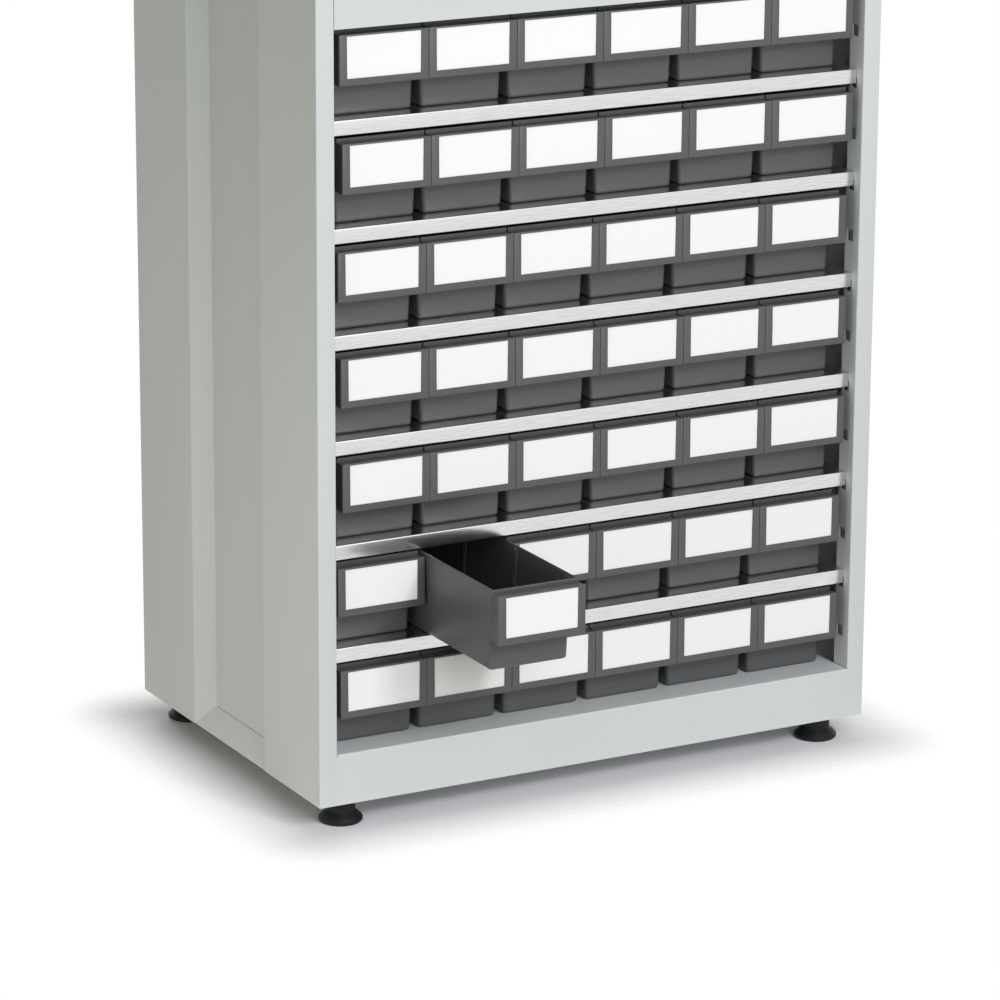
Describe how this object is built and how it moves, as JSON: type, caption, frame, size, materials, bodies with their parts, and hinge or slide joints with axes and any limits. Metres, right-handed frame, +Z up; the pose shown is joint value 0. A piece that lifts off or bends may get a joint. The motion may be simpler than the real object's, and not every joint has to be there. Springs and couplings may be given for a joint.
{
  "type": "parts organizer",
  "caption": "Free-standing steel cabinet holding rows of removable plastic small-parts drawers with label panels, on levelling feet; one drawer stands pulled out.",
  "frame": {"origin": "on the floor under the middle of the overall box, which takes in the drawer that stands pulled out", "axes": "+X to the right seen from the front, +Y from the front to the back, +Z up"},
  "size_m": [0.6, 0.538, 0.7915],
  "materials": {
    "paint": "semi-gloss light grey powder coat",
    "zinc": "zinc-coated sheet",
    "drawer_plastic": "satin dark grey moulding",
    "foot_plastic": "black moulding",
    "card": "plain white card"
  },
  "bodies": {
    "cabinet": {"side_panel_left": "paint", "side_panel_right": "paint", "base": "paint", "top_panel": "paint", "back_panel": "paint", "shelf_under_row_1": "zinc", "shelf_under_row_2": "zinc", "shelf_under_row_3": "zinc", "shelf_under_row_4": "zinc", "shelf_under_row_5": "zinc", "shelf_under_row_6": "zinc"},
    "drawer_r1_c1": {"drawer_r1_c1": "drawer_plastic"},
    "drawer_r1_c2": {"drawer_r1_c2": "drawer_plastic"},
    "drawer_r1_c3": {"drawer_r1_c3": "drawer_plastic"},
    "drawer_r1_c4": {"drawer_r1_c4": "drawer_plastic"},
    "drawer_r1_c5": {"drawer_r1_c5": "drawer_plastic"},
    "drawer_r1_c6": {"drawer_r1_c6": "drawer_plastic"},
    "drawer_r2_c1": {"drawer_r2_c1": "drawer_plastic"},
    "drawer_r2_c2": {"drawer_r2_c2": "drawer_plastic"},
    "drawer_r2_c3": {"drawer_r2_c3": "drawer_plastic"},
    "drawer_r2_c4": {"drawer_r2_c4": "drawer_plastic"},
    "drawer_r2_c5": {"drawer_r2_c5": "drawer_plastic"},
    "drawer_r2_c6": {"drawer_r2_c6": "drawer_plastic"},
    "drawer_r3_c1": {"drawer_r3_c1": "drawer_plastic"},
    "drawer_r3_c2": {"drawer_r3_c2": "drawer_plastic"},
    "drawer_r3_c3": {"drawer_r3_c3": "drawer_plastic"},
    "drawer_r3_c4": {"drawer_r3_c4": "drawer_plastic"},
    "drawer_r3_c5": {"drawer_r3_c5": "drawer_plastic"},
    "drawer_r3_c6": {"drawer_r3_c6": "drawer_plastic"},
    "drawer_r4_c1": {"drawer_r4_c1": "drawer_plastic"},
    "drawer_r4_c2": {"drawer_r4_c2": "drawer_plastic"},
    "drawer_r4_c3": {"drawer_r4_c3": "drawer_plastic"},
    "drawer_r4_c4": {"drawer_r4_c4": "drawer_plastic"},
    "drawer_r4_c5": {"drawer_r4_c5": "drawer_plastic"},
    "drawer_r4_c6": {"drawer_r4_c6": "drawer_plastic"},
    "drawer_r5_c1": {"drawer_r5_c1": "drawer_plastic"},
    "drawer_r5_c2": {"drawer_r5_c2": "drawer_plastic"},
    "drawer_r5_c3": {"drawer_r5_c3": "drawer_plastic"},
    "drawer_r5_c4": {"drawer_r5_c4": "drawer_plastic"},
    "drawer_r5_c5": {"drawer_r5_c5": "drawer_plastic"},
    "drawer_r5_c6": {"drawer_r5_c6": "drawer_plastic"},
    "drawer_r6_c1": {"drawer_r6_c1": "drawer_plastic"},
    "drawer_r6_c2": {"drawer_r6_c2": "drawer_plastic"},
    "drawer_r6_c3": {"drawer_r6_c3": "drawer_plastic"},
    "drawer_r6_c4": {"drawer_r6_c4": "drawer_plastic"},
    "drawer_r6_c5": {"drawer_r6_c5": "drawer_plastic"},
    "drawer_r6_c6": {"drawer_r6_c6": "drawer_plastic"},
    "drawer_r7_c1": {"drawer_r7_c1": "drawer_plastic"},
    "drawer_r7_c2": {"drawer_r7_c2": "drawer_plastic"},
    "drawer_r7_c3": {"drawer_r7_c3": "drawer_plastic"},
    "drawer_r7_c4": {"drawer_r7_c4": "drawer_plastic"},
    "drawer_r7_c5": {"drawer_r7_c5": "drawer_plastic"},
    "drawer_r7_c6": {"drawer_r7_c6": "drawer_plastic"},
    "foot_front_left": {"foot_front_left": "foot_plastic"},
    "foot_front_right": {"foot_front_right": "foot_plastic"},
    "foot_rear_left": {"foot_rear_left": "foot_plastic"},
    "foot_rear_right": {"foot_rear_right": "foot_plastic"}
  },
  "joints": [
    {"name": "slide_r6_c2", "type": "slide", "parent": "cabinet", "child": "drawer_r6_c2", "axis": [0, -1, 0], "range_m": [-0.145, 0.215]},
    {"name": "slide_r1_c1", "type": "slide", "parent": "cabinet", "child": "drawer_r1_c1", "axis": [0, -1, 0], "range_m": [0, 0.36]},
    {"name": "slide_r1_c2", "type": "slide", "parent": "cabinet", "child": "drawer_r1_c2", "axis": [0, -1, 0], "range_m": [0, 0.36]},
    {"name": "slide_r1_c3", "type": "slide", "parent": "cabinet", "child": "drawer_r1_c3", "axis": [0, -1, 0], "range_m": [0, 0.36]},
    {"name": "slide_r1_c4", "type": "slide", "parent": "cabinet", "child": "drawer_r1_c4", "axis": [0, -1, 0], "range_m": [0, 0.36]},
    {"name": "slide_r1_c5", "type": "slide", "parent": "cabinet", "child": "drawer_r1_c5", "axis": [0, -1, 0], "range_m": [0, 0.36]},
    {"name": "slide_r1_c6", "type": "slide", "parent": "cabinet", "child": "drawer_r1_c6", "axis": [0, -1, 0], "range_m": [0, 0.36]},
    {"name": "slide_r2_c1", "type": "slide", "parent": "cabinet", "child": "drawer_r2_c1", "axis": [0, -1, 0], "range_m": [0, 0.36]},
    {"name": "slide_r2_c2", "type": "slide", "parent": "cabinet", "child": "drawer_r2_c2", "axis": [0, -1, 0], "range_m": [0, 0.36]},
    {"name": "slide_r2_c3", "type": "slide", "parent": "cabinet", "child": "drawer_r2_c3", "axis": [0, -1, 0], "range_m": [0, 0.36]},
    {"name": "slide_r2_c4", "type": "slide", "parent": "cabinet", "child": "drawer_r2_c4", "axis": [0, -1, 0], "range_m": [0, 0.36]},
    {"name": "slide_r2_c5", "type": "slide", "parent": "cabinet", "child": "drawer_r2_c5", "axis": [0, -1, 0], "range_m": [0, 0.36]},
    {"name": "slide_r2_c6", "type": "slide", "parent": "cabinet", "child": "drawer_r2_c6", "axis": [0, -1, 0], "range_m": [0, 0.36]},
    {"name": "slide_r3_c1", "type": "slide", "parent": "cabinet", "child": "drawer_r3_c1", "axis": [0, -1, 0], "range_m": [0, 0.36]},
    {"name": "slide_r3_c2", "type": "slide", "parent": "cabinet", "child": "drawer_r3_c2", "axis": [0, -1, 0], "range_m": [0, 0.36]},
    {"name": "slide_r3_c3", "type": "slide", "parent": "cabinet", "child": "drawer_r3_c3", "axis": [0, -1, 0], "range_m": [0, 0.36]},
    {"name": "slide_r3_c4", "type": "slide", "parent": "cabinet", "child": "drawer_r3_c4", "axis": [0, -1, 0], "range_m": [0, 0.36]},
    {"name": "slide_r3_c5", "type": "slide", "parent": "cabinet", "child": "drawer_r3_c5", "axis": [0, -1, 0], "range_m": [0, 0.36]},
    {"name": "slide_r3_c6", "type": "slide", "parent": "cabinet", "child": "drawer_r3_c6", "axis": [0, -1, 0], "range_m": [0, 0.36]},
    {"name": "slide_r4_c1", "type": "slide", "parent": "cabinet", "child": "drawer_r4_c1", "axis": [0, -1, 0], "range_m": [0, 0.36]},
    {"name": "slide_r4_c2", "type": "slide", "parent": "cabinet", "child": "drawer_r4_c2", "axis": [0, -1, 0], "range_m": [0, 0.36]},
    {"name": "slide_r4_c3", "type": "slide", "parent": "cabinet", "child": "drawer_r4_c3", "axis": [0, -1, 0], "range_m": [0, 0.36]},
    {"name": "slide_r4_c4", "type": "slide", "parent": "cabinet", "child": "drawer_r4_c4", "axis": [0, -1, 0], "range_m": [0, 0.36]},
    {"name": "slide_r4_c5", "type": "slide", "parent": "cabinet", "child": "drawer_r4_c5", "axis": [0, -1, 0], "range_m": [0, 0.36]},
    {"name": "slide_r4_c6", "type": "slide", "parent": "cabinet", "child": "drawer_r4_c6", "axis": [0, -1, 0], "range_m": [0, 0.36]},
    {"name": "slide_r5_c1", "type": "slide", "parent": "cabinet", "child": "drawer_r5_c1", "axis": [0, -1, 0], "range_m": [0, 0.36]},
    {"name": "slide_r5_c2", "type": "slide", "parent": "cabinet", "child": "drawer_r5_c2", "axis": [0, -1, 0], "range_m": [0, 0.36]},
    {"name": "slide_r5_c3", "type": "slide", "parent": "cabinet", "child": "drawer_r5_c3", "axis": [0, -1, 0], "range_m": [0, 0.36]},
    {"name": "slide_r5_c4", "type": "slide", "parent": "cabinet", "child": "drawer_r5_c4", "axis": [0, -1, 0], "range_m": [0, 0.36]},
    {"name": "slide_r5_c5", "type": "slide", "parent": "cabinet", "child": "drawer_r5_c5", "axis": [0, -1, 0], "range_m": [0, 0.36]},
    {"name": "slide_r5_c6", "type": "slide", "parent": "cabinet", "child": "drawer_r5_c6", "axis": [0, -1, 0], "range_m": [0, 0.36]},
    {"name": "slide_r6_c1", "type": "slide", "parent": "cabinet", "child": "drawer_r6_c1", "axis": [0, -1, 0], "range_m": [0, 0.36]},
    {"name": "slide_r6_c3", "type": "slide", "parent": "cabinet", "child": "drawer_r6_c3", "axis": [0, -1, 0], "range_m": [0, 0.36]},
    {"name": "slide_r6_c4", "type": "slide", "parent": "cabinet", "child": "drawer_r6_c4", "axis": [0, -1, 0], "range_m": [0, 0.36]},
    {"name": "slide_r6_c5", "type": "slide", "parent": "cabinet", "child": "drawer_r6_c5", "axis": [0, -1, 0], "range_m": [0, 0.36]},
    {"name": "slide_r6_c6", "type": "slide", "parent": "cabinet", "child": "drawer_r6_c6", "axis": [0, -1, 0], "range_m": [0, 0.36]},
    {"name": "slide_r7_c1", "type": "slide", "parent": "cabinet", "child": "drawer_r7_c1", "axis": [0, -1, 0], "range_m": [0, 0.36]},
    {"name": "slide_r7_c2", "type": "slide", "parent": "cabinet", "child": "drawer_r7_c2", "axis": [0, -1, 0], "range_m": [0, 0.36]},
    {"name": "slide_r7_c3", "type": "slide", "parent": "cabinet", "child": "drawer_r7_c3", "axis": [0, -1, 0], "range_m": [0, 0.36]},
    {"name": "slide_r7_c4", "type": "slide", "parent": "cabinet", "child": "drawer_r7_c4", "axis": [0, -1, 0], "range_m": [0, 0.36]},
    {"name": "slide_r7_c5", "type": "slide", "parent": "cabinet", "child": "drawer_r7_c5", "axis": [0, -1, 0], "range_m": [0, 0.36]},
    {"name": "slide_r7_c6", "type": "slide", "parent": "cabinet", "child": "drawer_r7_c6", "axis": [0, -1, 0], "range_m": [0, 0.36]},
    {"name": "foot_front_left_turn", "type": "hinge", "parent": "cabinet", "child": "foot_front_left", "pos_m": [-0.264, -0.102, 0], "axis": [0, 0, 1], "continuous": true},
    {"name": "foot_front_right_turn", "type": "hinge", "parent": "cabinet", "child": "foot_front_right", "pos_m": [0.264, -0.102, 0], "axis": [0, 0, 1], "continuous": true},
    {"name": "foot_rear_left_turn", "type": "hinge", "parent": "cabinet", "child": "foot_rear_left", "pos_m": [-0.264, 0.24, 0], "axis": [0, 0, 1], "continuous": true},
    {"name": "foot_rear_right_turn", "type": "hinge", "parent": "cabinet", "child": "foot_rear_right", "pos_m": [0.264, 0.24, 0], "axis": [0, 0, 1], "continuous": true}
  ]
}
